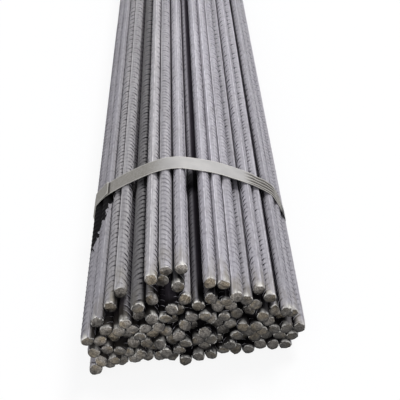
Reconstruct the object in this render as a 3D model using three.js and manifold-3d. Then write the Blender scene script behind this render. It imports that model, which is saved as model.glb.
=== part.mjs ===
// A bundle of 16 mm ribbed reinforcing bars, held by four flat steel straps.
//
// The bars lie along Y and nest in layers, with the outermost ones heaped over them as an arch.
// Each bar is drawn at its size over the ribs, which is what the bars and straps rest against.
// Millimetres, +Z up, the origin on the floor under the middle of the bundle.

import * as THREE from 'three';
import { mergeVertices } from 'three/addons/utils/BufferGeometryUtils.js';
import Module from 'manifold-3d';

const wasm = await Module();
wasm.setup();

// ---- Driving dimensions ----

const barLength = 6000;
const barDiameter = 16;
const ribHeight = 1;
const barSides = 16;

const layerBite = 0.3;
const layerGap = 0.5;

const endBack = 7;
const endLean = 2.5;
const endSpread = 10;

const strapWidth = 32;
const strapThickness = 0.9;
const strapClearance = 0.3;
const strapLap = 100;
const strapLapTurn = 0.93;
const strapInset = 280;
const strapCount = 4;
const strapBendSteps = 24;

// ---- Sizes worked out from them ----

const barWidth = barDiameter + 2 * ribHeight;
const layerPitch = barWidth - layerBite;
const layerRise = Math.sqrt((barWidth + layerGap) ** 2 - (layerPitch / 2) ** 2);

const steel = new THREE.MeshStandardMaterial({ color: 0x9d9aa2, roughness: 0.55, metalness: 0.75 });
const band = new THREE.MeshStandardMaterial({ color: 0xb7b3aa, roughness: 0.4, metalness: 0.85 });

// ---- How the bars are heaped ----

// Each full layer from the floor up: the place of its first bar, counted in pitches from the
// middle, and how many bars it has. Every other layer is half a pitch over.
const layers = [
  { first: -7, count: 16 },
  { first: -7, count: 16 },
  { first: -7, count: 17 },
  { first: -8, count: 16 },
  { first: -6, count: 14 },
  { first: -5, count: 9 },
  { first: -1, count: 3 },
];

// The loose bars over the layers, from left to right: across from the middle and up from the
// lowest bars, in bar widths, and how far back the near end stands, in millimetres. These show one
// by one, so each has its own.
const looseBars = [
  { across: -7.17, up: 3.72, back: -25 },
  { across: -6.47, up: 4.46, back: -5 },
  { across: -5.54, up: 4.9, back: 15 },
  { across: -4.78, up: 5.6, back: 30 },
  { across: -3.45, up: 5.82, back: -5 },
  { across: -2.46, up: 5.56, back: 15 },
  { across: -2.47, up: 6.79, back: 30 },
  { across: -1.65, up: 6.18, back: 40 },
  { across: -1.37, up: 7.16, back: 40 },
  { across: -0.49, up: 6.31, back: 25 },
  { across: -0.2, up: 7.29, back: 40 },
  { across: 1.88, up: 6.88, back: 20 },
  { across: 1.96, up: 5.73, back: 10 },
  { across: 2.88, up: 6.66, back: 20 },
  { across: 3.79, up: 6.2, back: 5 },
  { across: 3.09, up: 5.46, back: 10 },
  { across: 4.6, up: 5.27, back: 15 },
  { across: 5.59, up: 5.54, back: 30 },
  { across: 5.33, up: 4.54, back: 20 },
  { across: 6.42, up: 4.95, back: 25 },
  { across: 7.61, up: 4.32, back: 10 },
  { across: 8.22, up: 3.28, back: 25 },
];

// How far back the near end of a layer's bar stands: more towards the right, by the lean for each
// bar width, and strayed from that by up to the spread, as each bar was dropped in.
function setBack(x, seed) {
  const stray = 2 * THREE.MathUtils.seededRandom(seed) - 1;
  return Math.round(endBack + endLean * (x / barWidth) + endSpread * stray);
}

function layerBars({ first, count }, layer) {
  return Array.from({ length: count }, (_, i) => {
    const x = (first + i + (layer % 2) / 2) * layerPitch;
    return { x, z: layer * layerRise, back: setBack(x, 100 * layer + i) };
  });
}

const stackedBars = layers.map(layerBars);
const freeBars = looseBars.map(({ across, up, back }) => ({
  x: across * barWidth,
  z: up * barWidth,
  back,
}));
const allBars = [...stackedBars.flat(), ...freeBars];

// ---- The straps' path: the tightest loop round all the bars ----

// Andrew's monotone chain: the convex outline of a set of points, anticlockwise.
function convexOutline(points) {
  const sorted = [...points].sort((a, b) => a.x - b.x || a.y - b.y);
  const half = (ordered) => {
    const chain = [];
    for (const p of ordered) {
      while (chain.length > 1) {
        const [a, b] = chain.slice(-2);
        if ((b.x - a.x) * (p.y - a.y) - (b.y - a.y) * (p.x - a.x) > 1e-6) break;
        chain.pop();
      }
      chain.push(p);
    }
    return chain.slice(0, -1);
  };
  return [...half(sorted), ...half(sorted.reverse())];
}

// The loop that a strap lies on, with its bends rounded over the bars that it passes.
function loopAround(bars, reach) {
  const bendRadius = reach / Math.cos(Math.PI / strapBendSteps);
  const points = bars.flatMap(({ x, z }) =>
    Array.from({ length: strapBendSteps }, (_, i) => {
      const turn = ((i + 0.5) / strapBendSteps) * 2 * Math.PI;
      return new THREE.Vector2(x + bendRadius * Math.cos(turn), z + bendRadius * Math.sin(turn));
    }),
  );
  return convexOutline(points);
}

// A closed anticlockwise loop moved outwards by a thickness, corner by corner.
function grownLoop(loop, thickness) {
  const normal = (a, b) => new THREE.Vector2(b.y - a.y, a.x - b.x).normalize();
  return loop.map((p, i) => {
    const before = normal(loop.at(i - 1), p);
    const after = normal(p, loop[(i + 1) % loop.length]);
    const corner = before.clone().add(after).divideScalar(1 + before.dot(after));
    return p.clone().addScaledVector(corner, thickness);
  });
}

// The loop again, starting at a distance along it, with one more corner at a second distance.
function splitLoop(loop, start, length) {
  const closed = [...loop, loop[0]];
  const marks = [];
  let walked = 0;
  for (let i = 0; i < loop.length; i += 1) {
    marks.push({ at: walked, point: closed[i] });
    walked += closed[i].distanceTo(closed[i + 1]);
  }
  const pointAt = (distance) => {
    const i = marks.findLastIndex(({ at }) => at <= distance);
    const step = closed[i + 1].clone().sub(closed[i]);
    return closed[i].clone().addScaledVector(step.normalize(), distance - marks[i].at);
  };
  const from = (start * walked) % walked;
  const to = (from + length) % walked;
  const between = (a, b) => marks
    .map(({ at, point }) => ({ past: (at - a + walked) % walked, point }))
    .filter(({ past }) => past > 0.01 && past < ((b - a + walked) % walked) - 0.01)
    .sort((p, q) => p.past - q.past)
    .map(({ point }) => point);
  return {
    lapped: [pointAt(from), ...between(from, to), pointAt(to)],
    single: between(to, from),
  };
}

// ---- Making the pieces ----

function solidFrom(geometry) {
  geometry.deleteAttribute('normal');
  geometry.deleteAttribute('uv');
  const merged = mergeVertices(geometry, 1e-4);
  return new wasm.Manifold(new wasm.Mesh({
    numProp: 3,
    vertProperties: new Float32Array(merged.attributes.position.array),
    triVerts: new Uint32Array(merged.index.array),
  }));
}

function geometryFrom(solid) {
  const { vertProperties, triVerts } = solid.getMesh();
  const geometry = new THREE.BufferGeometry();
  geometry.setAttribute('position', new THREE.BufferAttribute(vertProperties, 3));
  geometry.setIndex(new THREE.BufferAttribute(triVerts, 1));
  geometry.computeVertexNormals();
  return geometry;
}

// A flat outline in X and Z, drawn out along +Y from a start.
function drawnAlongY(shape, start, length) {
  const geometry = new THREE.ExtrudeGeometry(shape, { depth: length, bevelEnabled: false });
  geometry.rotateX(Math.PI / 2);
  geometry.translate(0, start + length, 0);
  return geometry;
}

function barGeometry({ x, z, back }) {
  const corners = Array.from({ length: barSides }, (_, i) => {
    const turn = (i / barSides) * 2 * Math.PI;
    return new THREE.Vector2(x + barWidth / 2 * Math.cos(turn), z + barWidth / 2 * Math.sin(turn));
  });
  return drawnAlongY(new THREE.Shape(corners), back - barLength / 2, barLength);
}

// The bars of a layer bear on each other rib to rib, so together they make one solid.
function layerGeometry(bars) {
  const solids = bars.map((bar) => solidFrom(barGeometry(bar)));
  return geometryFrom(solids.reduce((joined, next) => joined.add(next)));
}

// A strap goes once round the bundle, and its outer end laps over the inner one.
function strapGeometry(middle) {
  const inner = loopAround(allBars, barWidth / 2 + strapClearance);
  const { lapped, single } = splitLoop(inner, strapLapTurn, strapLap);
  const loop = [...lapped, ...single];
  const once = grownLoop(loop, strapThickness);
  const twice = grownLoop(loop, 2 * strapThickness);
  const last = lapped.length;
  const outline = [...twice.slice(0, last), ...once.slice(last - 1), once[0]];
  const shape = new THREE.Shape(outline);
  shape.holes.push(new THREE.Path(inner));
  return drawnAlongY(shape, middle - strapWidth / 2, strapWidth);
}

// ---- The bundle ----

const group = new THREE.Group();

function addPiece(name, geometry, material) {
  const mesh = new THREE.Mesh(geometry, material);
  mesh.name = name;
  group.add(mesh);
}

stackedBars.forEach((bars, i) => addPiece(`bar_layer_${i + 1}`, layerGeometry(bars), steel));
freeBars.forEach((bar, i) => addPiece(`loose_bar_${i + 1}`, barGeometry(bar), steel));

const strapStep = (barLength - 2 * strapInset) / (strapCount - 1);
for (let i = 0; i < strapCount; i += 1) {
  const middle = strapInset - barLength / 2 + i * strapStep;
  addPiece(`strap_${i + 1}`, strapGeometry(middle), band);
}

// The bundle is set down with its middle over the origin and its straps on the floor.
group.updateMatrixWorld(true);
const extent = new THREE.Box3().setFromObject(group, true);
const middle = extent.getCenter(new THREE.Vector3());
group.position.set(-middle.x, -middle.y, -extent.min.z);

export default group;
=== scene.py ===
# A bundle of 16 mm ribbed reinforcing bars, six metres long, under four flat steel straps.
# Metres, +Z up, the bars along Y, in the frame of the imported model.

from functools import partial

import bpy
import numpy as np
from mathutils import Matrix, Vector


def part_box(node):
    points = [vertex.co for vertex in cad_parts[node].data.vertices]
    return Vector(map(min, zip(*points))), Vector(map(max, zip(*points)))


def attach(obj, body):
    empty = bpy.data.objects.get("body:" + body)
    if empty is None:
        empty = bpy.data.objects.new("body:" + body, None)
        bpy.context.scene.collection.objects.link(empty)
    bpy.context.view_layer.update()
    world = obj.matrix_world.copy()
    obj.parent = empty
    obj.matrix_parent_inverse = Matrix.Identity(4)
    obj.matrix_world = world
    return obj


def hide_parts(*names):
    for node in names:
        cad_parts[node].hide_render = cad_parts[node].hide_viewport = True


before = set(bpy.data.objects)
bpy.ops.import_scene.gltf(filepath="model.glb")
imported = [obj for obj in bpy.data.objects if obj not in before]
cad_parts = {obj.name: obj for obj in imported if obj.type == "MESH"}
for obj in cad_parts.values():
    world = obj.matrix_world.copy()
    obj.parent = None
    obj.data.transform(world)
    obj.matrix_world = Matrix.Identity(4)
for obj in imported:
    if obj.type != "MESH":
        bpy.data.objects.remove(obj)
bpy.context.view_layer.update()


# ---- The bars, as they lie ----
# Reinforcing bars of 16 mm, each rolled hot in one piece from carbon steel and cropped to length.
# They lie loose against each other, so each one keeps the turn that it happened to roll to.

MM = 0.001
BAR_WIDTH = 18 * MM
BAR_SPACING = 0.98 * BAR_WIDTH
LOOKS_OUT = np.radians(np.arange(0, 360, 5))
SKY_WAYS = np.radians(np.arange(5, 180, 10))
SKIN_TURNS = np.radians(np.arange(0, 361, 10))


def mesh_points(thing):
    """The corners of a mesh, one row of x, y and z for each."""
    points = np.empty(3 * len(thing.data.vertices))
    thing.data.vertices.foreach_get("co", points)
    return points.reshape(-1, 3)


def bars_in(node):
    """The bars in a node, as rows of x, z, near end and far end.

    A node is one bar or a layer of them, side by side. Its height is a bar's width, and the
    corners within a third of that from a bar's middle line belong to that bar alone.
    """
    low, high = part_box(node)
    width = high.z - low.z
    count = 1 + round((high.x - low.x - width) / BAR_SPACING)
    middles = np.linspace(low.x + width / 2, high.x - width / 2, count)
    points = mesh_points(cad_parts[node])
    rows = []
    for middle in middles:
        own = points[np.abs(points[:, 0] - middle) < width / 3, 1]
        rows.append((middle, (low.z + high.z) / 2, own.min(), own.max()))
    return rows


def open_ways(places):
    """Which ways each bar sees out of the bundle, as a table of bars by directions.

    A way is open when no other bar's middle lies ahead of this bar's, nearer than half a bar
    width to the straight line that leaves this bar's middle in that direction.
    """
    ways = np.stack([np.cos(LOOKS_OUT), np.sin(LOOKS_OUT)])
    steps = places[None, :, :] - places[:, None, :]
    ahead = steps @ ways
    aside = np.abs(steps @ np.stack([-ways[1], ways[0]]))
    blocked = (ahead > 0.1 * BAR_WIDTH) & (aside < BAR_WIDTH / 2)
    return ~blocked.any(axis=1)


def daylight(places, turns):
    """How much of the sky each bar's skin sees at each turn, as a table of bars by turns.

    It is the sum over the ways up of the cosine between the way and the skin, where no other
    bar stands across the way, as a share of that sum for skin that faces straight up. Where
    another bar's skin is nearer than two millimetres, it falls off with the distance.
    """
    outward = np.stack([np.cos(turns), np.sin(turns)], axis=-1)
    skin = places[:, None, :] + BAR_WIDTH / 2 * outward
    steps = places[None, None, :, :] - skin[:, :, None, :]
    own = np.eye(len(places), dtype=bool)[:, None, :]
    seen = np.zeros(skin.shape[:2])
    for way in SKY_WAYS:
        ahead = steps @ np.array([np.cos(way), np.sin(way)])
        aside = np.abs(steps @ np.array([-np.sin(way), np.cos(way)]))
        hidden = ((ahead > 0) & (aside < 0.97 * BAR_WIDTH / 2) & ~own).any(axis=2)
        facing = np.clip(outward @ np.array([np.cos(way), np.sin(way)]), 0, 1)
        seen += facing * ~hidden
    gap = (np.linalg.norm(steps, axis=3) + BAR_WIDTH * own).min(axis=2) - BAR_WIDTH / 2
    seen *= np.clip(gap / (2 * MM), 0, 1)
    return seen / np.sin(SKY_WAYS).sum()


bar_nodes = [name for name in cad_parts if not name.startswith("strap")]
bar_rows = {name: bars_in(name) for name in sorted(bar_nodes)}
all_bars = np.array([row for rows in bar_rows.values() for row in rows])
sees_out = open_ways(all_bars[:, :2])
# A bar shows when it sees out level, upwards or a little downwards.
sees_up = sees_out[:, np.sin(LOOKS_OUT) > -0.2]
skin_daylight = daylight(all_bars[:, :2], SKIN_TURNS)


# ---- The ribs and the cropped ends ----
# A round core with two rows of crescent ribs, each in a plane slanted across the bar, and a rib
# along each side between the rows. Each end is cropped by a shear, which presses flats on the
# bar, tears the face along a ridge and leaves a lip on the side away from the blade.

CORE_RADIUS = 8.9 * MM
CREST_HEIGHT = 0.95 * MM
LONG_RIB_HEIGHT = 0.75 * MM
RIB_SPACING = 10.4 * MM
RIB_FOOT = 1.3 * MM
RIB_REACH = np.radians(72)
RIB_SLANT = np.radians(38)
TWIST_PER_METRE = np.radians(4)
HALF_COLUMNS = np.radians([0, 7, 30, 52, 76, 104, 128, 150, 173])
COLUMNS = np.concatenate([HALF_COLUMNS, HALF_COLUMNS + np.pi])
SHOWN_STRETCH = 980 * MM
FAR_STRETCH = 180 * MM
TUCKED_STRETCH = 60 * MM
PLAIN_STEP = 600 * MM
PRESSED_STRETCH = 12 * MM
RIM_STEPS = np.array([0, 0.4, 2.2]) * MM
CAP_SHARES = np.array([0.3, 0.6, 0.84, 0.95])
LIP_HEIGHT = 0.7 * MM
EDGE_ROUNDING = 0.035
TORN_DEPTH = 0.3 * MM
NEAR_SHADE_STRETCH = 450 * MM
LOW_SHADE_HEIGHTS = np.array([25, 140]) * MM
LOW_SHADE_SIDES = np.array([-150, 0]) * MM
SHARP_EDGE = np.radians(29)


def crescent(turns):
    """How high a rib stands at each turn round the bar, from 0 to 1.

    It is one minus the square of the turn from the middle of the row, as a share of its reach.
    """
    from_middle = np.mod(turns, np.pi) - np.pi / 2
    return np.clip(1 - (from_middle / RIB_REACH) ** 2, 0, 1)


def smooth_step(values, start, end):
    """0 before the start, 1 after the end, and three squares less two cubes between them."""
    share = np.clip((values - start) / (end - start), 0, 1)
    return share * share * (3 - 2 * share)


def ring_stations(length, first, near_ribs, far_ribs):
    """Where the rings along a bar lie, with how high their rib is and whether ribs are drawn.

    A drawn rib has a ring at its foot, at its crest and at its other foot. Between the two
    drawn stretches there are only plain rings, at even steps.
    """
    crests = np.arange(first, length - RIB_SPACING / 2, RIB_SPACING)
    near_crests = crests[crests < near_ribs]
    far_crests = crests[crests > length - far_ribs]
    drawn = np.concatenate([near_crests, far_crests])
    stop = near_crests[-1] + RIB_SPACING / 2
    resume = far_crests[0] - RIB_SPACING / 2
    plain = np.linspace(stop + MM, resume - MM, 2 + int((resume - stop) / PLAIN_STEP))
    before_first = (RIM_STEPS[-1] + near_crests[0] - RIB_FOOT) / 2
    after_last = length - (RIM_STEPS[-1] + length - far_crests[-1] - RIB_FOOT) / 2
    rings = [
        (RIM_STEPS, 0, 1),
        (np.array([before_first, stop, resume, after_last]), 0, 1),
        (drawn - RIB_FOOT, 0, 1),
        (drawn, 1, 1),
        (drawn + RIB_FOOT, 0, 1),
        (plain, 0, 0),
        (length - RIM_STEPS, 0, 1),
    ]
    places = np.concatenate([where for where, _, _ in rings])
    heights = np.concatenate([np.full(len(where), height) for where, height, _ in rings])
    shown = np.concatenate([np.full(len(where), mark) for where, _, mark in rings])
    order = np.argsort(places)
    return places[order], heights[order], shown[order]


def shear_marks(draws):
    """What the shear did to one end, as one row: the turns of its three flats, their depths as
    shares of the bar's radius, the face's tilt, where its ridge lies and how its halves lean.

    The deepest flat lies where the blade came from, mostly above, the next one across from it,
    and the third anywhere. The face breaks at the ridge, and leans back more above it.
    """
    from_above = draws.normal(np.pi / 2, 0.5)
    turns = from_above + np.array([0, np.pi + draws.normal(0, 0.4), draws.uniform(0.8, 5.5)])
    rest = draws.uniform(
        [0.1, 0.0, 0.0, -0.14, -0.14, -0.3, 0.1, -0.05],
        [0.34, 0.18, 0.16, 0.14, 0.14, 0.4, 0.6, 0.3],
    )
    return np.concatenate([turns, rest])


def ribbed_bar(x, z, near, far, look, near_shade, skin_light, draws, stretches):
    """One bar as a lofted grid, closed by a fan at each end.

    Its rows run from the middle of the near face over its rim, along the bar and over the far
    rim to the middle of the far face. A corner's radius is the core's plus the rib's height
    times the crescent, and no more than the flats allow, each of which is a straight line
    across the bar. Its place along the bar is its ring's plus the slant, which is the cosine
    of its turn. Towards an end the slant fades out, and the flats, the face's tilt, its ridge
    with a lean on either side and its lip fade in. Low down, and less so on the left, the end
    is darker with painted shade, and its painted dark rim is wider.
    """
    length = far - near
    turn, lightness, crispness = look
    first = draws.uniform(0.48, 1.48) * RIB_SPACING
    rings, heights, drawn = ring_stations(length, first, *stretches)
    caps = len(CAP_SHARES)
    along = np.concatenate([np.zeros(caps), rings, np.full(caps, length)])
    share = np.concatenate([CAP_SHARES, np.ones(len(rings)), CAP_SHARES[::-1]])
    height = np.pad(heights, caps)
    drawn = np.pad(drawn, caps, constant_values=1)
    to_end = np.minimum(along, length - along)
    which = np.where(along < length / 2, 0, 1)
    inward = np.where(which == 0, 1, -1)[:, None]

    twist = TWIST_PER_METRE * draws.normal() * along
    seen_turn = COLUMNS + np.radians(turn) + twist[:, None]
    pressed = np.clip(1 - to_end / PRESSED_STRETCH, 0, 1)[:, None] ** 2
    rib = CREST_HEIGHT * min(0.3 + 0.7 * crispness, 1) * crescent(COLUMNS)
    rib = rib * (height * smooth_step(to_end, MM, 6 * MM))[:, None]
    on_long_rib = (np.mod(COLUMNS, np.pi) < 1e-6) * (to_end[:, None] > RIM_STEPS[1])
    radius = CORE_RADIUS + rib + LONG_RIB_HEIGHT * on_long_rib
    marks = np.array([shear_marks(draws), shear_marks(draws)])[which]
    flat_turns, flat_depths, tilts, ridge, leans = np.split(marks, [3, 6, 8, 9], axis=1)
    for number in range(flat_turns.shape[1]):
        facing = np.clip(np.cos(seen_turn - flat_turns[:, number:number + 1]), 0.2, 1)
        depth = flat_depths[:, number:number + 1] * pressed
        radius = np.minimum(radius, np.where(depth > 0, CORE_RADIUS * (1 - depth) / facing, 1))
    scraped = smooth_step(CORE_RADIUS - radius, 0.2 * MM, 0.9 * MM)
    scraped = scraped * (1 - smooth_step(to_end, 2 * MM, 8 * MM))[:, None]
    rounding = EDGE_ROUNDING * (1 - smooth_step(to_end, 0, RIM_STEPS[-1]))
    radius = radius * (share * (1 - rounding))[:, None]

    across = radius * np.cos(seen_turn)
    up = radius * np.sin(seen_turn)
    blade = flat_turns[:, :1]
    to_blade = (across * np.cos(blade) + up * np.sin(blade)) / CORE_RADIUS
    back = leans[:, :1] * np.clip(to_blade - ridge, 0, None)
    back = back + leans[:, 1:] * np.clip(ridge - to_blade, 0, None)
    lip = LIP_HEIGHT * smooth_step(-to_blade, 0.6, 1)
    torn = TORN_DEPTH * draws.normal(size=radius.shape) * (to_end < MM)[:, None]
    face = tilts[:, :1] * across + tilts[:, 1:] * up + CORE_RADIUS * back - lip + torn
    slant = CORE_RADIUS * np.tan(RIB_SLANT) * np.clip(to_end / PRESSED_STRETCH, 0, 1)
    y = near + along[:, None] + slant[:, None] * np.cos(COLUMNS) + inward * pressed * face
    grid = np.stack([x + across, y, z + up], axis=-1)

    rows, columns = radius.shape
    tips = grid[[0, -1]].mean(axis=1)
    points = np.concatenate([grid.reshape(-1, 3), tips])
    row, column = np.meshgrid(np.arange(rows - 1), np.arange(columns), indexing="ij")
    beside = (column + 1) % columns
    quads = np.stack([
        row * columns + column,
        (row + 1) * columns + column,
        (row + 1) * columns + beside,
        row * columns + beside,
    ], axis=-1).reshape(-1, 4)
    ring = np.arange(columns)
    following = (ring + 1) % columns
    last = (rows - 1) * columns
    near_tip, far_tip = rows * columns, rows * columns + 1
    fans = np.concatenate([
        np.stack([np.full(columns, near_tip), ring, following], axis=-1),
        np.stack([last + following, last + ring, np.full(columns, far_tip)], axis=-1),
    ])

    rib_number = (along - first) / RIB_SPACING
    u = np.append(COLUMNS, 2 * np.pi) / (2 * np.pi)
    quad_uv = np.stack([
        np.stack([u[column], rib_number[row]], -1),
        np.stack([u[column], rib_number[row + 1]], -1),
        np.stack([u[column + 1], rib_number[row + 1]], -1),
        np.stack([u[column + 1], rib_number[row]], -1),
    ], axis=-2).reshape(-1, 2)
    on_cap = (row < caps) | (row >= rows - caps - 1)
    on_face = (to_end < MM)[:, None]
    on_blade_side = smooth_step(to_blade, -0.2, 0.5)
    # Painted shade on the end face: darker low down and less so on the left, a painted dark rim on the
    # side away from the blade, wider where it is darker, and bright nicks on the blade side, burrs lit
    # with a painted glint.
    low_shade = np.interp(z, LOW_SHADE_HEIGHTS, [1, 0]) * np.interp(x, LOW_SHADE_SIDES, [0.2, 1])
    rim = smooth_step(share, 0.8 - 0.16 * low_shade, 1 - 0.08 * low_shade)[:, None]
    rim = rim * on_face * (1 - on_blade_side)
    nick_glint = smooth_step(share, 0.84, 1)[:, None] * on_face * on_blade_side
    burnished = smooth_step(to_blade, ridge - 0.1, ridge + 0.1) * (share < 1)[:, None]
    # Painted shade darkens the near stretch of a bar that lies deep in a recess.
    shade = lightness * (1 - near_shade * (1 - smooth_step(along, 0.5 * NEAR_SHADE_STRETCH, NEAR_SHADE_STRETCH)))
    light = np.interp(np.mod(seen_turn, 2 * np.pi), SKIN_TURNS, skin_light)
    return {
        "points": points,
        "quads": quads,
        "fans": fans,
        "uv": (quad_uv, np.zeros((fans.size, 2))),
        "cropped": (on_cap.reshape(-1), np.ones(len(fans), bool)),
        "lightness": np.append(np.repeat(shade, columns), shade[[0, -1]]),
        "crispness": np.full(len(points), crispness),
        "daylight": np.append(light.ravel(), light[[0, -1]].mean(axis=1)),
        "to_end": np.append(np.repeat(to_end, columns), [0, 0]),
        "rim": np.append(rim.ravel(), [0, 0]),
        "nick_glint": np.append(nick_glint.ravel(), [0, 0]),
        "low_shade": np.full(len(points), low_shade),
        "scraped": np.append(scraped.ravel(), [0, 0]),
        "burnished": np.append(burnished.ravel(), burnished[[0, -1]].mean(axis=1)),
        "ribs_drawn": np.append(np.repeat(drawn, columns), [1, 1]),
    }


MARKS = ("lightness", "crispness", "daylight", "to_end", "rim", "nick_glint", "burnished",
         "low_shade", "scraped", "ribs_drawn")


def steel_piece(name, bars, materials):
    """One mesh from the grids of several bars, with their marks for the material."""
    starts = np.cumsum([0] + [len(bar["points"]) for bar in bars])
    quads = np.concatenate([bar["quads"] + start for bar, start in zip(bars, starts)])
    fans = np.concatenate([bar["fans"] + start for bar, start in zip(bars, starts)])
    mesh = bpy.data.meshes.new(name)
    points = np.concatenate([bar["points"] for bar in bars])
    mesh.from_pydata(points.tolist(), [], quads.tolist() + fans.tolist())
    uv = np.concatenate([bar["uv"][part] for part in (0, 1) for bar in bars])
    mesh.uv_layers.new(name="ribs").data.foreach_set("uv", uv.astype(np.float32).ravel())
    cropped = np.concatenate([bar["cropped"][part] for part in (0, 1) for bar in bars])
    mesh.polygons.foreach_set("material_index", cropped.astype(np.int32))
    for mark in MARKS:
        values = np.concatenate([bar[mark] for bar in bars]).astype(np.float32)
        mesh.attributes.new(mark, "FLOAT", "POINT").data.foreach_set("value", values)
    mesh.polygons.foreach_set("use_smooth", ~cropped)
    mesh.set_sharp_from_angle(angle=SHARP_EDGE)
    for material in materials:
        mesh.materials.append(material)
    piece = bpy.data.objects.new(name, mesh)
    bpy.context.scene.collection.objects.link(piece)
    return piece


# ---- The bars' steel ----
# Mill scale: the thin blue-grey oxide skin of hot-rolled steel, dull, with lengthwise streaks
# from the rolls, bright on the ribs' crests from wear and a painted highlight, with painted
# shade between the ribs and the bars, and pale dust near the cropped ends.


def colour(code):
    """An sRGB hex colour as the linear values that a shader takes."""
    parts = np.array([int(code[i:i + 2], 16) for i in (1, 3, 5)]) / 255
    linear = np.where(parts <= 0.04045, parts / 12.92, ((parts + 0.055) / 1.055) ** 2.4)
    return (*linear.tolist(), 1.0)


def add_node(tree, kind, inputs, **settings):
    """Adds a node with its settings and its inputs, and gives back its outputs.

    An input goes by its name or number, and is a value or the output that is linked to it.
    """
    node = tree.nodes.new("ShaderNode" + kind)
    for name, value in settings.items():
        setattr(node, name, value)
    for name, value in inputs.items():
        if isinstance(value, bpy.types.NodeSocket):
            tree.links.new(value, node.inputs[name])
        else:
            node.inputs[name].default_value = value
    return node.outputs


def empty_material(name):
    """A material with no nodes, and the function that adds one to it."""
    material = bpy.data.materials.new(name)
    material.use_nodes = True
    material.node_tree.nodes.clear()
    return material, partial(add_node, material.node_tree)


def spots(across_mm, along_mm):
    """A noise's scale, in spots to the metre, from their size across and along the bars."""
    return (1000 / across_mm, 1000 / along_mm, 1000 / across_mm)


strap_places = sorted(sum(end.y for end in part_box(name)) / 2 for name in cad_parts
                      if name.startswith("strap"))
FIRST_STRAP = strap_places[0]
STRAPS_APART = strap_places[1] - strap_places[0]
# Where the painted black shadow of the first strap lies on the left shoulder.
WEDGE_NEAR = FIRST_STRAP - 132.5 * MM
WEDGE_FAR = FIRST_STRAP - 7.5 * MM
WEDGE_TAPER = 10 * MM
WEDGE_INNER_NEAR = -147 * MM
WEDGE_INNER_FAR = -119 * MM
WEDGE_FLOOR = 52 * MM
WEDGE_FRAY = 5 * MM


def shadow_wedge(add, place, noise):
    """Where the painted black shadow of the first strap lies on the left shoulder: a wedge that
    narrows from the first strap towards the near ends, with a frayed edge."""
    place = add("SeparateXYZ", {"Vector": place})
    frayed = add("MapRange", {"Value": noise, 1: 0.35, 2: 0.65, 3: -WEDGE_FRAY, 4: WEDGE_FRAY})
    frayed = frayed["Result"]
    inner = add("MapRange", {"Value": place["Y"], 1: WEDGE_NEAR + WEDGE_TAPER,
                             2: WEDGE_FAR - WEDGE_TAPER, 3: WEDGE_INNER_NEAR, 4: WEDGE_INNER_FAR})
    inner = add("Math", {0: inner["Result"], 1: frayed}, operation="ADD")["Value"]
    outside = add("Math", {0: place["X"], 1: inner}, operation="LESS_THAN")["Value"]
    nearer = add("Math", {0: place["Y"], 1: WEDGE_FAR}, operation="LESS_THAN")["Value"]
    beyond = add("Math", {0: place["Y"], 1: WEDGE_NEAR}, operation="GREATER_THAN")["Value"]
    floor = add("Math", {0: frayed, 1: WEDGE_FLOOR}, operation="ADD")["Value"]
    above = add("Math", {0: place["Z"], 1: floor}, operation="GREATER_THAN")["Value"]
    painted_wedge = add("Math", {0: outside, 1: nearer}, operation="MULTIPLY")["Value"]
    painted_wedge = add("Math", {0: painted_wedge, 1: beyond}, operation="MULTIPLY")["Value"]
    return add("Math", {0: painted_wedge, 1: above}, operation="MULTIPLY")["Value"]


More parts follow.
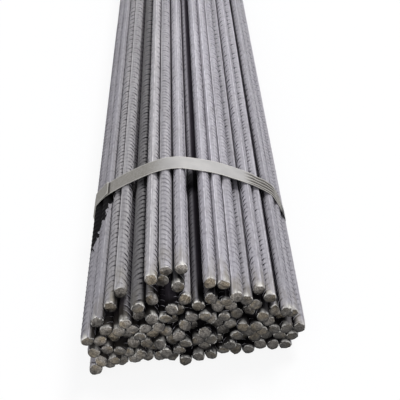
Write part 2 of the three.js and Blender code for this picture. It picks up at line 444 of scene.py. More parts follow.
def mill_scale():
    """The skin of the bars: grey scale with streaks and pits, bright on the ribs' crests from wear
    and a painted highlight.

    Painted shade lies against the ribs, and dust, scrapes and bright burrs with painted glints
    lie near the cropped ends. It is painted near black where the bars or a strap keep the light
    out, and painted light and shade make it a little darker on top and lighter on the flanks.
    """
    material, add = empty_material("mill_scale")
    place = add("TexCoord", {})["Object"]
    noises = []
    sizes = ((spots(2.2, 170), 3), (spots(9, 40), 4), (spots(1.3, 2.0), 3), (spots(5, 12), 2),
             (spots(3.5, 8), 2))
    for size, detail in sizes:
        at = add("Mapping", {"Vector": place, "Scale": size})["Vector"]
        noises.append(add("TexNoise", {"Vector": at, "Scale": 1, "Detail": detail})["Fac"])
    streaks, blotches, specks, patches, pits = noises

    uv = add("UVMap", {}, uv_map="ribs")["UV"]
    uv = add("SeparateXYZ", {"Vector": uv})
    # How far off a crest, in rib spacings, and off the middle of its row, as a share of its
    # reach. The crescent is one minus the square of that share.
    past = add("Math", {0: uv["Y"], 1: 0.5}, operation="PINGPONG")["Value"]
    aside = add("Math", {0: uv["X"], 1: 2}, operation="MULTIPLY")["Value"]
    aside = add("Math", {0: aside}, operation="FRACT")["Value"]
    aside = add("Math", {0: aside, 1: 0.5}, operation="SUBTRACT")["Value"]
    aside = add("Math", {0: aside, 1: np.pi / RIB_REACH}, operation="MULTIPLY")["Value"]
    square = add("Math", {0: aside, 1: aside}, operation="MULTIPLY")["Value"]
    arc = add("Math", {0: 1, 1: square}, operation="SUBTRACT", use_clamp=True)["Value"]
    # The long rib is worn bright and lit with a painted highlight, beyond the ends of the crescents.
    edge = add("MapRange", {"Value": square, 1: 1.33, 2: 1.43, 3: 0, 4: 0.7})["Result"]
    foot = RIB_FOOT / RIB_SPACING
    slope = add("MapRange", {"Value": past, 1: foot, 2: 0}, interpolation_type="SMOOTHSTEP")
    height = add("Math", {0: slope["Result"], 1: arc}, operation="MULTIPLY")["Value"]
    crest = add("MapRange", {"Value": height, 1: 0.5, 2: 0.95, 3: 0, 4: 0.8})["Result"]
    to_end = add("Attribute", {}, attribute_name="to_end")["Fac"]
    counted = add("Math", {0: uv["Y"], 1: 0.5}, operation="ADD")["Value"]
    flank = add("Math", {0: counted}, operation="FRACT")["Value"]
    lit = add("Attribute", {}, attribute_name="daylight")["Fac"]
    # The hollows are ten millimetres apart, too fine to show at a distance. From half a metre to
    # a metre behind the ends they are drawn coarser than they are: every second one holds more
    # painted shade, and the ones between hold less.
    coarser = add("MapRange", {"Value": to_end, 1: 360 * MM, 2: 550 * MM, 3: 0, 4: 0.85})["Result"]
    plainer = add("MapRange", {"Value": to_end, 1: 1200 * MM, 2: 950 * MM})["Result"]
    in_groove = add("MapRange", {"Value": lit, 1: 0.97, 2: 0.6, 3: 0.35, 4: 1})["Result"]
    coarser = add("Math", {0: coarser, 1: plainer}, operation="MULTIPLY")["Value"]
    coarser = add("Math", {0: coarser, 1: in_groove}, operation="MULTIPLY")["Value"]
    second = add("Math", {0: counted, 1: 0.5}, operation="MULTIPLY")["Value"]
    second = add("Math", {0: second}, operation="FRACT")["Value"]
    second = add("Math", {0: second, 1: 0.5}, operation="LESS_THAN")["Value"]
    filled = add("Math", {0: second, 1: coarser}, operation="MULTIPLY")["Value"]
    emptied = add("Math", {0: coarser, 1: filled}, operation="SUBTRACT")["Value"]
    left_in = add("Math", {0: 1, 1: emptied}, operation="SUBTRACT")["Value"]
    widened = add("Math", {0: filled, 1: 0.35}, operation="MULTIPLY")["Value"]
    # Painted shade lies against one flank of each rib, and less of it where the light gets in.
    begun = add("MapRange", {"Value": flank, 1: 0.1, 2: 0.2})["Result"]
    ended = add("Math", {0: flank, 1: widened}, operation="SUBTRACT")["Value"]
    ended = add("MapRange", {"Value": ended, 1: 0.48, 2: 0.4})["Result"]
    rib_shade = add("Math", {0: begun, 1: ended}, operation="MULTIPLY")["Value"]
    rib_shade = add("Math", {0: rib_shade, 1: arc}, operation="MULTIPLY")["Value"]
    rib_shade = add("Math", {0: rib_shade, 1: left_in}, operation="MULTIPLY")["Value"]
    marked = add("MapRange", {"Value": lit, 1: 0.97, 2: 0.45, 3: 0.4, 4: 1.4})["Result"]
    crispness = add("Attribute", {}, attribute_name="crispness")["Fac"]
    marked = add("Math", {0: marked, 1: crispness}, operation="MULTIPLY")["Value"]
    kept = add("MapRange", {"Value": to_end, 1: 300 * MM, 2: 1200 * MM, 3: 1, 4: 2.2})["Result"]
    marked = add("Math", {0: marked, 1: kept}, operation="MULTIPLY", use_clamp=True)["Value"]
    broken = add("MapRange", {"Value": patches, 1: 0.38, 2: 0.56, 3: 0.15, 4: 1.2})["Result"]
    marked = add("Math", {0: marked, 1: broken}, operation="MULTIPLY")["Value"]
    rib_shade = add("Math", {0: rib_shade, 1: marked}, operation="MULTIPLY")["Value"]
    crest = add("Math", {0: crest, 1: marked}, operation="MULTIPLY")["Value"]
    edge = add("Math", {0: edge, 1: broken}, operation="MULTIPLY")["Value"]

    share = add("MapRange", {"Value": streaks, 1: 0.35, 2: 0.65})["Result"]
    skin = add("Mix", {"Factor": share, "A": colour("#a8a5ac"), "B": colour("#c4c1c6")},
               data_type="RGBA")["Result"]
    # Brown blotches, dark specks, dark pits and pale flecks, each as far as its noise reaches.
    for noise, none, full, most, code in (
        (blotches, 0.45, 0.75, 0.35, "#a19c9b"), (specks, 0.6, 0.75, 0.7, "#67626a"),
        (pits, 0.56, 0.68, 0.4, "#7b767d"), (pits, 0.44, 0.34, 0.2, "#d2cfd4"),
    ):
        share = add("MapRange", {"Value": noise, 1: none, 2: full, 3: 0, 4: most})["Result"]
        skin = add("Mix", {"Factor": share, "A": skin, "B": colour(code)}, data_type="RGBA")["Result"]
    # The painted shade on the ribs' flanks, and the crests and the long rib worn bright and lit with a
    # painted highlight.
    for share, code in ((rib_shade, "#27222c"), (crest, "#d3d0d6"), (edge, "#e2dfe4")):
        skin = add("Mix", {"Factor": share, "A": skin, "B": colour(code)}, data_type="RGBA")["Result"]

    # Pale dust behind the ends, and a warmer grey on the left.
    dusty = add("MapRange", {"Value": to_end, 1: 45 * MM, 2: 3 * MM, 3: 0, 4: 0.8})["Result"]
    patchy = add("MapRange", {"Value": blotches, 1: 0.38, 2: 0.62})["Result"]
    dust = add("Math", {0: dusty, 1: patchy}, operation="MULTIPLY")["Value"]
    skin = add("Mix", {"Factor": dust, "A": skin, "B": colour("#9d968a")}, data_type="RGBA")["Result"]
    lightness = add("Attribute", {}, attribute_name="lightness")["Fac"]
    axes = add("SeparateXYZ", {"Vector": place})
    warm = add("MapRange", {"Value": axes["X"], 1: 0, 2: -70 * MM})["Result"]
    left = add("MapRange", {"Value": axes["X"], 1: -130 * MM, 2: -115 * MM})["Result"]
    warm = add("Math", {0: warm, 1: left}, operation="MULTIPLY")["Value"]
    tint = add("Mix", {"Factor": warm, "A": colour("#ffffff"), "B": colour("#fcfcf6")},
               data_type="RGBA")["Result"]
    skin = add("Mix", {"Factor": 1, "A": skin, "B": tint},
               data_type="RGBA", blend_type="MULTIPLY")["Result"]

    # Painted shade: near black between the bars and in the valleys beside a strap, where its
    # shadow falls, and blackest by the ends.
    painted_shade = add("MapRange", {"Value": lit, 1: 0.38, 2: 0.04})["Result"]
    from_strap = add("Math", {0: axes["Y"], 1: FIRST_STRAP}, operation="SUBTRACT")["Value"]
    from_strap = add("Math", {0: from_strap, 1: STRAPS_APART / 2}, operation="PINGPONG")["Value"]
    beside = add("MapRange", {"Value": from_strap, 1: 36 * MM, 2: 18 * MM})["Result"]
    valley = add("MapRange", {"Value": lit, 1: 0.85, 2: 0.5, 3: 0, 4: 0.9})["Result"]
    beside = add("Math", {0: beside, 1: valley}, operation="MULTIPLY")["Value"]
    painted_shade = add("Math", {0: painted_shade, 1: beside}, operation="MAXIMUM")["Value"]
    at_tip = add("MapRange", {"Value": to_end, 1: 9 * MM, 2: 3 * MM, 3: 1, 4: 0.92})["Result"]
    painted_shade = add("Math", {0: painted_shade, 1: at_tip}, operation="MULTIPLY")["Value"]
    by_end = add("MapRange", {"Value": to_end, 1: 50 * MM, 2: 15 * MM})["Result"]
    to_left = add("MapRange", {"Value": axes["X"], 1: -40 * MM, 2: -130 * MM})["Result"]
    black = add("Mix", {"Factor": to_left, "A": colour("#0d0b0c"), "B": colour("#3a3632")},
                data_type="RGBA")["Result"]
    deep = add("Math", {0: by_end, 1: beside}, operation="MAXIMUM")["Value"]
    shade_colour = add("Mix", {"Factor": deep, "A": colour("#474249"), "B": black},
                 data_type="RGBA")["Result"]
    skin = add("Mix", {"Factor": painted_shade, "A": skin, "B": shade_colour}, data_type="RGBA")["Result"]

    # Each bar's own lightness, a little less towards the ends, where hands have been, with painted
    # light and shade that darkens the tops a little and lightens the flanks.
    handled = add("MapRange", {"Value": to_end, 1: 50 * MM, 2: 600 * MM, 3: 0.893, 4: 1})["Result"]
    shade = add("Math", {0: lightness, 1: handled}, operation="MULTIPLY")["Value"]
    painted_top_light = add("MapRange", {"Value": lit, 1: 0.95, 2: 0.6, 3: 0.96, 4: 1.06})["Result"]
    shade = add("Math", {0: shade, 1: painted_top_light}, operation="MULTIPLY")["Value"]
    skin = add("Mix", {"Factor": 1, "A": skin, "B": shade},
               data_type="RGBA", blend_type="MULTIPLY")["Result"]
    # The crests worn brighter and lit with a painted highlight, most of all by the ends.
    wear_and_highlight = add("MapRange", {"Value": by_end, 3: 0.6, 4: 1})["Result"]
    wear_and_highlight = add("Math", {0: crest, 1: wear_and_highlight}, operation="MULTIPLY")["Value"]
    wear_and_highlight = add("Math", {0: wear_and_highlight, 1: lightness}, operation="MULTIPLY")["Value"]
    skin = add("Mix", {"Factor": wear_and_highlight, "A": skin, "B": colour("#c9c6cc")}, data_type="RGBA")["Result"]

    # Bare steel where the shear scraped the flats, bright burrs at the edge lit with painted glints,
    # and the painted black shadow on the left shoulder.
    scraped = add("Attribute", {}, attribute_name="scraped")["Fac"]
    share = add("MapRange", {"Value": patches, 1: 0.35, 2: 0.6, 3: 0.25, 4: 0.9})["Result"]
    share = add("Math", {0: share, 1: scraped}, operation="MULTIPLY")["Value"]
    skin = add("Mix", {"Factor": share, "A": skin, "B": colour("#cfccc4")}, data_type="RGBA")["Result"]
    burr_glint = add("MapRange", {"Value": to_end, 1: 2.2 * MM, 2: 0.8 * MM})["Result"]
    nick = add("MapRange", {"Value": patches, 1: 0.5, 2: 0.57, 3: 0, 4: 0.85})["Result"]
    burr_glint = add("Math", {0: burr_glint, 1: nick}, operation="MULTIPLY")["Value"]
    skin = add("Mix", {"Factor": burr_glint, "A": skin, "B": colour("#ece9e2")}, data_type="RGBA")["Result"]
    # The painted black shadow that the first strap casts on the left shoulder.
    painted_wedge = shadow_wedge(add, place, patches)
    skin = add("Mix", {"Factor": painted_wedge, "A": skin, "B": colour("#100f11")}, data_type="RGBA")["Result"]

    # Ribs as bump where none are drawn, and the scale's grain.
    drawn = add("Attribute", {}, attribute_name="ribs_drawn")["Fac"]
    undrawn = add("Math", {0: 1, 1: drawn}, operation="SUBTRACT")["Value"]
    height = add("Math", {0: height, 1: undrawn}, operation="MULTIPLY")["Value"]
    ribs = add("Bump", {"Height": height, "Distance": CREST_HEIGHT})["Normal"]
    grain = add("Bump", {"Height": specks, "Distance": 0.15 * MM, "Strength": 0.6,
                         "Normal": ribs})["Normal"]
    rough = add("MapRange", {"Value": blotches, 1: 0.3, 2: 0.7, 3: 0.5, 4: 0.66})["Result"]
    duller = add("Math", {0: painted_shade, 1: 0.35}, operation="MULTIPLY")["Value"]
    rough = add("Math", {0: rough, 1: duller}, operation="ADD", use_clamp=True)["Value"]
    hidden = add("Math", {0: painted_shade, 1: painted_wedge}, operation="MAXIMUM")["Value"]
    sheen = add("MapRange", {"Value": hidden, 3: 0.22, 4: 0.03})["Result"]
    shader = add("BsdfPrincipled", {"Base Color": skin, "Roughness": rough, "Metallic": 0.1,
                                    "Specular IOR Level": sheen, "Normal": grain})["BSDF"]
    add("OutputMaterial", {"Surface": shader})
    return material


def cropped_steel():
    """The torn faces that the shear leaves: bare steel, grey-brown with a film of rust.

    It is paler where the blade burnished it, with bright nicks along the rim there, burrs lit
    with a painted glint. Low down and on the right it is darker with painted shade, and the rest
    of the rim is a painted dark shadow line.
    """
    material, add = empty_material("cropped_steel")
    place = add("TexCoord", {})["Object"]
    noises = []
    for size, detail in ((spots(1.6, 1.6), 4), (spots(6, 60), 3), (spots(4, 4), 2),
                         (spots(24, 300), 1)):
        at = add("Mapping", {"Vector": place, "Scale": size})["Vector"]
        noises.append(add("TexNoise", {"Vector": at, "Scale": 1, "Detail": detail})["Fac"])
    grain, film, nicks, rust = noises
    share = add("MapRange", {"Value": film, 1: 0.35, 2: 0.65})["Result"]
    face = add("Mix", {"Factor": share, "A": colour("#46423d"), "B": colour("#8b867f")},
               data_type="RGBA")["Result"]
    share = add("MapRange", {"Value": grain, 1: 0.48, 2: 0.62, 3: 0, 4: 0.75})["Result"]
    face = add("Mix", {"Factor": share, "A": face, "B": colour("#38322d")}, data_type="RGBA")["Result"]
    burnished = add("Attribute", {}, attribute_name="burnished")["Fac"]
    share = add("MapRange", {"Value": grain, 1: 0.35, 2: 0.5, 3: 0.9, 4: 0.2})["Result"]
    share = add("Math", {0: share, 1: burnished}, operation="MULTIPLY")["Value"]
    face = add("Mix", {"Factor": share, "A": face, "B": colour("#a09990")}, data_type="RGBA")["Result"]
    lightness = add("Attribute", {}, attribute_name="lightness")["Fac"]
    shade = add("MapRange", {"Value": lightness, 1: 0.82, 2: 1.1, 3: 0.62, 4: 1.35})["Result"]
    face = add("Mix", {"Factor": 1, "A": face, "B": shade},
               data_type="RGBA", blend_type="MULTIPLY")["Result"]
    share = add("MapRange", {"Value": rust, 1: 0.48, 2: 0.6})["Result"]
    tint = add("Mix", {"Factor": share, "A": colour("#ffffff"), "B": colour("#fbf2de")},
               data_type="RGBA")["Result"]
    face = add("Mix", {"Factor": 1, "A": face, "B": tint},
               data_type="RGBA", blend_type="MULTIPLY")["Result"]
    # Painted shade: darker low down and on the right, paler high up and on the left.
    low_shade = add("Attribute", {}, attribute_name="low_shade")["Fac"]
    low_shade = add("MapRange", {"Value": low_shade, 3: 1.5, 4: 0.47})["Result"]
    face = add("Mix", {"Factor": 1, "A": face, "B": low_shade},
               data_type="RGBA", blend_type="MULTIPLY")["Result"]
    # A painted dark shadow rim on the side away from the blade, and bright nicks on the blade side,
    # burrs lit with a painted glint.
    rim = add("Attribute", {}, attribute_name="rim")["Fac"]
    nick_glint = add("Attribute", {}, attribute_name="nick_glint")["Fac"]
    share = add("Math", {0: rim, 1: 0.95}, operation="MULTIPLY")["Value"]
    face = add("Mix", {"Factor": share, "A": face, "B": colour("#1b1816")}, data_type="RGBA")["Result"]
    nick = add("MapRange", {"Value": nicks, 1: 0.47, 2: 0.56})["Result"]
    bright = add("Math", {0: nick_glint, 1: nick}, operation="MULTIPLY")["Value"]
    face = add("Mix", {"Factor": bright, "A": face, "B": colour("#f2efe8")}, data_type="RGBA")["Result"]
    torn = add("Bump", {"Height": grain, "Distance": 0.5 * MM, "Strength": 0.5})["Normal"]
    shader = add("BsdfPrincipled", {"Base Color": face, "Roughness": 0.45, "Metallic": 0.3,
                                    "Normal": torn})["BSDF"]
    add("OutputMaterial", {"Surface": shader})
    return material


# How these bars lie and look: the angle from +X of the long rib in degrees, how light the scale
# is, and how crisp the ribs are, where 1 is plain. A bar of a layer goes by its place in it.
# The lightness of loose_bar_5 is painted shade as well: it is dark for the shade of the recess that it
# lies in.
LOOKS = {
    "loose_bar_1": (75, 0.64, 0.9), "loose_bar_2": (88, 0.69, 0.8),
    "loose_bar_3": (25, 0.78, 0.85), "loose_bar_4": (150, 0.87, 0.9),
    "bar_layer_6 1": (150, 1.1, 0.7), "loose_bar_5": (0, 0.35, 1),
    "loose_bar_7": (105, 1.03, 1), "loose_bar_9": (172, 1.02, 0.85),
    "loose_bar_11": (80, 1.03, 1), "loose_bar_10": (130, 0.6, 1),
    "bar_layer_7 3": (80, 1.25, 0.8), "loose_bar_12": (98, 1.04, 1),
    "loose_bar_13": (60, 0.7, 1), "loose_bar_14": (112, 1.01, 0.8),
    "loose_bar_15": (125, 0.94, 0.8), "loose_bar_17": (55, 0.73, 1),
    "loose_bar_18": (70, 0.95, 1), "loose_bar_20": (50, 0.86, 1),
    "loose_bar_21": (85, 0.85, 1), "loose_bar_22": (105, 0.88, 0.8),
    "bar_layer_3 17": (20, 0.9, 0.75), "bar_layer_2 16": (20, 0.83, 0.4),
}
# Painted shade: how much darker these are over their first stretch, for the shade of the recess
# that they lie in, from the ends to beyond the first strap.
NEAR_SHADE = {"bar_layer_7 3": 0.62, "loose_bar_10": 0.3, "loose_bar_13": 0.3}
# In how many ways up a bar has to see out for its ribs to be drawn at full length.
WELL_SHOWN = 3
# The least and the most of the same three marks, for every bar that isn't named above.
OTHER_LOOKS = ((0, 0.84, 0.8), (360, 1.08, 1))
# The sides of these that hardly any light reaches, because the next bar leans close over them:
# where the side's middle is, in degrees from +X, and half its width.
SHADED_SIDES = {"bar_layer_7 3": (50, 64), "loose_bar_20": (10, 20), "loose_bar_21": (176, 28)}

bar_materials = (mill_scale(), cropped_steel())
draws = np.random.default_rng(16)
number = 0
for node, rows in bar_rows.items():
    bars = []
    for place, (x, z, near, far) in enumerate(rows, 1):
        shown = sees_up[number].sum() >= WELL_SHOWN
        stretches = (SHOWN_STRETCH, FAR_STRETCH) if shown else (TUCKED_STRETCH, TUCKED_STRETCH)
        look = draws.uniform(*OTHER_LOOKS)
        key = node if len(rows) == 1 else f"{node} {place}"
        look, near_shade = LOOKS.get(key, look), NEAR_SHADE.get(key, 0)
        skin_light = skin_daylight[number]
        if key in SHADED_SIDES:
            side, half_width = SHADED_SIDES[key]
            from_side = (np.degrees(SKIN_TURNS) - side + 180) % 360 - 180
            skin_light = skin_light * smooth_step(np.abs(from_side), 0.5 * half_width, half_width)
        bars.append(ribbed_bar(x, z, near, far, look, near_shade, skin_light, draws, stretches))
        number += 1
    piece = steel_piece(node.replace("bar", "ribbed_bar"), bars, bar_materials)
    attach(piece, "root")
    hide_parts(node)


# ---- The straps ----
# Cold-rolled steel strapping, 32 mm wide and 0.9 mm thick, drawn tight round the bundle, with
# the outer end pressed down over the inner one and its edges left as slit. Lifting has pleated
# each one lengthwise over the bundle's right shoulder.

STRAP_THICKNESS = 0.9 * MM
STRAP_CLEARANCE = 0.3 * MM
STRAP_STEP = 8 * MM
STRAP_BEND = np.radians(8)
STRAP_COLUMNS = 27
STRAP_SPRING = 22 * MM
LAP_GAP = 0.15 * MM
LAP_LIFT = 1.4 * MM
LAP_RAMP = 14 * MM
PLEAT_HEIGHT = 2 * MM
PLEAT_SPACING = 8.5 * MM
PLEATS_FROM = 84 * MM
PLEATS_FULL = 104 * MM
PLEATED_NARROWING = 0.08
RUFFLE_HEIGHT = 0.9 * MM
RUFFLE_LENGTH = 4 * MM
PLEAT_WAVER = 9 * MM
EASED_FROM = 75 * MM
EASED_FULL = 105 * MM
# Where a strap turns down on the left, it carries painted shade.
LEFT_SHADE_SIDES = np.array([20, 75]) * MM
# Where the first strap turns down on the right, it carries painted black shade.
PAINTED_SIDES = np.array([147, 149]) * MM
PAINTED_HEIGHTS = np.array([36, 40]) * MM
PAINTED_ACROSS = 5 * MM
STRAP_SHARP_EDGE = np.radians(50)


def tight_loop(places, reach):
    """The loop that a strap lies on, anticlockwise from the right side, at even steps.

    In each direction it passes through the middle of the bar that lies furthest that way, plus
    the reach in that direction. The straight stretches between two bars fill in by steps.
    """
    turns = np.linspace(0, 2 * np.pi, 721)
    ways = np.stack([np.cos(turns), np.sin(turns)], axis=-1)
    corners = places[np.argmax(places @ ways.T, axis=0)] + reach * ways
    walked = np.concatenate([[0], np.cumsum(np.linalg.norm(np.diff(corners, axis=0), axis=1))])
    even = np.arange(0, walked[-1], MM)
    return np.stack([np.interp(even, walked, corners[:, axis]) for axis in (0, 1)], axis=-1)


def sprung(loop):
    """The loop eased over the bars on top, where the strip is too stiff to follow each one.

    There each point is the mean of its neighbours within the spring length, moved out by as
    much as the mean lies inside the tight loop at most. Low down the loop stays as it is.
    """
    reach = round(STRAP_SPRING / MM)
    wrapped = np.concatenate([loop[-reach:], loop, loop[:reach]])
    window = np.hanning(2 * reach + 3)[1:-1]
    mean = np.stack([np.convolve(wrapped[:, axis], window / window.sum(), "valid")
                     for axis in (0, 1)], axis=-1)
    ahead = np.roll(mean, -3, axis=0) - np.roll(mean, 3, axis=0)
    outward = np.stack([ahead[:, 1], -ahead[:, 0]], axis=-1)
    outward /= np.linalg.norm(outward, axis=1, keepdims=True)
    high = smooth_step(loop[:, 1], EASED_FROM, EASED_FULL)[:, None]
    inside = ((loop - mean) * outward).sum(axis=1)
    eased = mean + outward * inside[high[:, 0] > 0.5].max()
    return loop + high * (eased - loop)


def lap_start(node, loop):
    """Where along the loop the outer end of a strap lies, and how long its lap is.

    The corners of the node's solid that stand more than one and a half thicknesses off the
    loop are those of the lapped stretch. Each belongs to the point of the loop nearest to it.
    """
    points = mesh_points(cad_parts[node])[:, [0, 2]]
    apart = np.linalg.norm(points[:, None, :] - loop[None], axis=-1)
    doubled = apart.min(axis=1) > 1.6 * STRAP_THICKNESS
    places = np.sort(apart.argmin(axis=1)[doubled]) * MM
    length = len(loop) * MM
    gap = np.argmax(np.diff(np.append(places, places[0] + length)))
    start = places[(gap + 1) % len(places)]
    return start, (places[gap] - start) % length


def strap_piece(name, node, tight, eased, draws):
    """A strap as a closed section carried along the loop, from its outer end to its inner one.

    A row comes after each eight millimetres or eight degrees of bend. Its height off the loop
    is one thickness more over the lap, with a lift at the outer end, plus the pleats: a
    rounded wave across the width that fades in over the right shoulder.
    """
    low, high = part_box(node)
    middle, half_width = (low.y + high.y) / 2, (high.y - low.y) / 2
    start, lap = lap_start(node, tight)
    closed = np.arange(len(eased) + round(lap / MM)) + round(start / MM)
    path = eased[closed % len(eased)]
    ahead = np.roll(eased, -2, axis=0) - np.roll(eased, 2, axis=0)
    bearing = np.unwrap(np.arctan2(ahead[:, 1], ahead[:, 0])[closed % len(eased)])
    steps = np.arange(len(path)) * MM / STRAP_STEP + np.abs(bearing - bearing[0]) / STRAP_BEND
    rows = np.linspace(0, steps[-1], round(steps[-1]))
    along = np.interp(rows, steps, np.arange(len(path)) * MM)
    x, z = np.interp(rows, steps, path[:, 0]), np.interp(rows, steps, path[:, 1])
    bearing = np.interp(rows, steps, bearing)
    outward = np.stack([np.sin(bearing), -np.cos(bearing)], axis=-1)

    over_lap = 1 - smooth_step(along, lap, lap + LAP_RAMP)
    lifted = 1 - smooth_step(along, 0, LAP_RAMP)
    off = over_lap * (STRAP_THICKNESS + LAP_GAP) + lifted * LAP_LIFT
    on_top = smooth_step(z, 0.3 * high.z, 0.5 * high.z)
    pleated = smooth_step(x, PLEATS_FROM, PLEATS_FULL) * on_top

    width = np.linspace(-half_width, half_width, STRAP_COLUMNS)
    drift = 0.25 * (x - PLEATS_FROM) / PLEATS_FULL + 0.05 * np.sin(along / PLEAT_WAVER)
    first = 0.3 + draws.uniform(0, 0.3)
    waves = 1 - np.abs(np.sin(np.pi * (width / PLEAT_SPACING + first + drift[:, None])))
    height = off[:, None] + PLEAT_HEIGHT * pleated[:, None] * waves
    ruffle = RUFFLE_HEIGHT * pleated * np.sin(along / RUFFLE_LENGTH)
    narrowed = width * (1 - PLEATED_NARROWING * pleated[:, None])
    y = middle + narrowed + ruffle[:, None] * (width > 0)

    def layer(thickness):
        """The strap's under or upper side, at a height off the loop."""
        out = height + thickness
        across, up = x[:, None] + out * outward[:, :1], z[:, None] + out * outward[:, 1:]
        return np.stack([across, y, up], axis=-1)

    section = np.concatenate([layer(STRAP_THICKNESS), layer(0)[:, ::-1]], axis=1)
    rows, columns = section.shape[:2]
    row, column = np.meshgrid(np.arange(rows - 1), np.arange(columns), indexing="ij")
    beside = (column + 1) % columns
    quads = np.stack([
        row * columns + column,
        row * columns + beside,
        (row + 1) * columns + beside,
        (row + 1) * columns + column,
    ], axis=-1).reshape(-1, 4)
    side = np.arange(STRAP_COLUMNS - 1)
    end = np.stack([side, columns - 1 - side, columns - 2 - side, side + 1], axis=-1)
    last = (rows - 1) * columns + end[:, ::-1]
    mesh = bpy.data.meshes.new(name)
    quads = np.concatenate([quads, end, last])
    mesh.from_pydata(section.reshape(-1, 3).tolist(), [], quads.tolist())
    from_edge = half_width - np.abs(width)
    # Painted shade, black, where the strap turns down on the right.
    painted = smooth_step(x, *PAINTED_SIDES) * smooth_step(z, *PAINTED_HEIGHTS)
    # Painted shade where the strap turns down on the left.
    left_turn_shade = smooth_step(-x, *LEFT_SHADE_SIDES) * on_top
    marks = {
        "from_edge": np.minimum(from_edge, along[:, None]),
        "before_lap": np.repeat(len(eased) * MM - along[:, None], STRAP_COLUMNS, axis=1),
        "pleated": np.repeat(pleated[:, None], STRAP_COLUMNS, axis=1),
        "crease_shade": pleated[:, None] * smooth_step(1 - waves, 0.5, 0.95),
        "ridge_highlight": pleated[:, None] * smooth_step(waves, 0.5, 0.9),
        "painted": painted[:, None] * (width < PAINTED_ACROSS),
        "left_turn_shade": np.repeat(left_turn_shade[:, None], STRAP_COLUMNS, axis=1),
    }
    for mark, values in marks.items():
        both = np.concatenate([values, values[:, ::-1]], axis=1).astype(np.float32)
        mesh.attributes.new(mark, "FLOAT", "POINT").data.foreach_set("value", both.ravel())
    mesh.shade_smooth()
    mesh.set_sharp_from_angle(angle=STRAP_SHARP_EDGE)
    piece = bpy.data.objects.new(name, mesh)
    bpy.context.scene.collection.objects.link(piece)
    return piece


def strap_steel():
    """Bare cold-rolled strip: smooth and dull, with fine lines along it and edges brightened by wear
    and a painted highlight, with painted shade where it turns down on the left, on the first
    strap's right, and in its creases, and a painted highlight on its pleats' ridges."""
    material, add = empty_material("strap_steel")
    place = add("TexCoord", {})["Object"]
    noises = []
    for size, detail in ((spots(30, 0.8), 2), (spots(25, 25), 3), (spots(3, 3), 3)):
        at = add("Mapping", {"Vector": place, "Scale": size})["Vector"]
        noises.append(add("TexNoise", {"Vector": at, "Scale": 1, "Detail": detail})["Fac"])
    lines, clouds, specks = noises
    share = add("MapRange", {"Value": clouds, 1: 0.35, 2: 0.7})["Result"]
    face = add("Mix", {"Factor": share, "A": colour("#b1afac"), "B": colour("#a6a4a2")},
               data_type="RGBA")["Result"]
    # Painted shade where the strap turns down on the left, away from the light.
    left_turn_shade = add("Attribute", {}, attribute_name="left_turn_shade")["Fac"]
    share = add("MapRange", {"Value": specks, 1: 0.3, 2: 0.7, 3: 0.6, 4: 1})["Result"]
    share = add("Math", {0: share, 1: left_turn_shade}, operation="MULTIPLY")["Value"]
    face = add("Mix", {"Factor": share, "A": face, "B": colour("#79756d")}, data_type="RGBA")["Result"]
    # The pleated stretch is darker, with painted shade in the creases and a painted highlight on the
    # ridges.
    for mark, code in (("pleated", "#716c66"), ("crease_shade", "#3b3733"), ("ridge_highlight", "#d9d6cf")):
        share = add("Attribute", {}, attribute_name=mark)["Fac"]
        face = add("Mix", {"Factor": share, "A": face, "B": colour(code)}, data_type="RGBA")["Result"]
    # A painted shadow: a dark line where the strap dives under its own outer end.
    before_lap = add("Attribute", {}, attribute_name="before_lap")["Fac"]
    away = add("Math", {0: before_lap, 1: 1.5 * MM}, operation="SUBTRACT")["Value"]
    away = add("Math", {0: away}, operation="ABSOLUTE")["Value"]
    dark = add("MapRange", {"Value": away, 1: 2.5 * MM, 2: MM, 3: 0, 4: 0.85})["Result"]
    face = add("Mix", {"Factor": dark, "A": face, "B": colour("#302c29")}, data_type="RGBA")["Result"]
    # Painted black shade where the first strap alone turns down under the right shoulder, and its
    # edges worn bright and lit with a painted highlight where there is none.
    painted = add("Attribute", {}, attribute_name="painted")["Fac"]
    axes = add("SeparateXYZ", {"Vector": place})
    on_first = add("Math", {0: axes["Y"], 1: FIRST_STRAP + 100 * MM}, operation="LESS_THAN")["Value"]
    painted = add("Math", {0: painted, 1: on_first}, operation="MULTIPLY")["Value"]
    face = add("Mix", {"Factor": painted, "A": face, "B": colour("#100f11")},
               data_type="RGBA")["Result"]
    from_edge = add("Attribute", {}, attribute_name="from_edge")["Fac"]
    wear_and_highlight = add("MapRange", {"Value": from_edge, 1: 1.4 * MM, 2: 0, 3: 0, 4: 0.9})["Result"]
    clean = add("Math", {0: 1, 1: painted}, operation="SUBTRACT")["Value"]
    wear_and_highlight = add("Math", {0: wear_and_highlight, 1: clean}, operation="MULTIPLY")["Value"]
    face = add("Mix", {"Factor": wear_and_highlight, "A": face, "B": colour("#d6d3cb")}, data_type="RGBA")["Result"]
    rough = add("MapRange", {"Value": lines, 1: 0.3, 2: 0.7, 3: 0.5, 4: 0.62})["Result"]
    rolled = add("Bump", {"Height": lines, "Distance": 0.1 * MM, "Strength": 0.4})["Normal"]
    shader = add("BsdfPrincipled", {"Base Color": face, "Roughness": rough, "Metallic": 0.2,
                                    "Normal": rolled})["BSDF"]
    add("OutputMaterial", {"Surface": shader})
    return material


strip = strap_steel()
tight = tight_loop(all_bars[:, :2], BAR_WIDTH / 2 + STRAP_CLEARANCE)
eased = sprung(tight)
strap_draws = np.random.default_rng(32)
for node in sorted(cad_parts):
    if node.startswith("strap"):
        strap = strap_piece("steel_" + node, node, tight, eased, strap_draws)
        strap.data.materials.append(strip)
        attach(strap, "root")
        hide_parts(node)


# ---- The floor, the light and the camera ----
# A plain white floor and backdrop, a wide soft light overhead and behind, and the camera above
# the near ends, looking down along the bars.


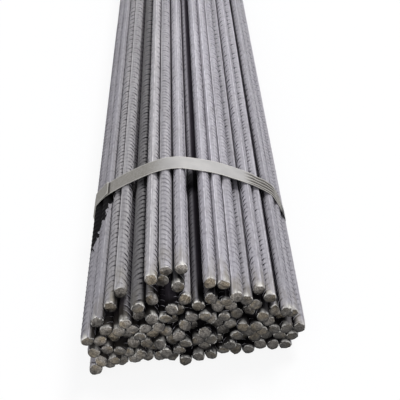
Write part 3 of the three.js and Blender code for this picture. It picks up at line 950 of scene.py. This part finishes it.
def white_floor():
    """Matt white, which the camera sees as nearly plain white with a soft shadow.

    A ray that only carries light meets a greyer paint, so that the floor doesn't light the
    bars from below.
    """
    material, add = empty_material("white_floor")
    paint = add("BsdfDiffuse", {"Color": colour("#ffffff")})["BSDF"]
    glow = add("Emission", {"Color": colour("#ffffff"), "Strength": 1})["Emission"]
    seen = add("MixShader", {0: 0.88, 1: paint, 2: glow})["Shader"]
    grey = add("BsdfDiffuse", {"Color": colour("#8f8f8f")})["BSDF"]
    path = add("LightPath", {})
    direct = add("Math", {0: path["Is Camera Ray"], 1: path["Is Glossy Ray"]},
                 operation="MAXIMUM")["Value"]
    direct = add("Math", {0: direct, 1: path["Is Transmission Ray"]}, operation="MAXIMUM")["Value"]
    both = add("MixShader", {0: direct, 1: grey, 2: seen})["Shader"]
    add("OutputMaterial", {"Surface": both})
    return material


FLOOR_REACH = 40
floor_mesh = bpy.data.meshes.new("floor")
floor_corners = [(x * FLOOR_REACH, y * FLOOR_REACH, 0) for x, y in ((-1, -1), (1, -1), (1, 1), (-1, 1))]
floor_mesh.from_pydata(floor_corners, [], [(0, 1, 2, 3)])
floor_mesh.materials.append(white_floor())
floor = bpy.data.objects.new("floor", floor_mesh)
bpy.context.scene.collection.objects.link(floor)

world = bpy.data.worlds.new("studio")
bpy.context.scene.world = world
world.use_nodes = True
world.node_tree.nodes.clear()
add = partial(add_node, world.node_tree)
path = add("LightPath", {})
seen = add("Math", {0: path["Is Camera Ray"], 1: path["Is Glossy Ray"]}, operation="MAXIMUM")["Value"]
seen = add("Math", {0: seen, 1: path["Is Transmission Ray"]}, operation="MAXIMUM")["Value"]
soft = add("Background", {"Color": colour("#f4f6ff"), "Strength": 0.5})["Background"]
plain = add("Background", {"Color": colour("#ffffff"), "Strength": 1})["Background"]
sky = add("MixShader", {0: seen, 1: soft, 2: plain})["Shader"]
add("OutputWorld", {"Surface": sky})

lamp = bpy.data.lights.new("high_window", "SUN")
lamp.energy = 1.75
lamp.angle = np.radians(20)
window = bpy.data.objects.new("high_window", lamp)
window.rotation_euler = Vector((-0.35, -0.6, -1.0)).to_track_quat("-Z", "Y").to_euler()
bpy.context.scene.collection.objects.link(window)

front = bpy.data.lights.new("wide_front_light", "SUN")
front.energy = 0.6
front.angle = np.radians(40)
screen = bpy.data.objects.new("wide_front_light", front)
screen.rotation_euler = Vector((0.3, 0.8, -0.6)).to_track_quat("-Z", "Y").to_euler()
bpy.context.scene.collection.objects.link(screen)

EYE = Vector((-18.4, -3754.1, 848.2)) * MM
LOOK_DOWN = np.radians(36.9)
LOOK_RIGHT = np.radians(1.94)
LENS_MM = 71.1

camera = bpy.data.objects.new("camera", bpy.data.cameras.new("camera"))
camera.data.sensor_width = 36
camera.data.lens = LENS_MM
camera.location = EYE
camera.rotation_euler = (np.pi / 2 - LOOK_DOWN, 0, -LOOK_RIGHT)
bpy.context.scene.collection.objects.link(camera)
bpy.context.scene.camera = camera
bpy.context.scene.view_settings.view_transform = "Standard"
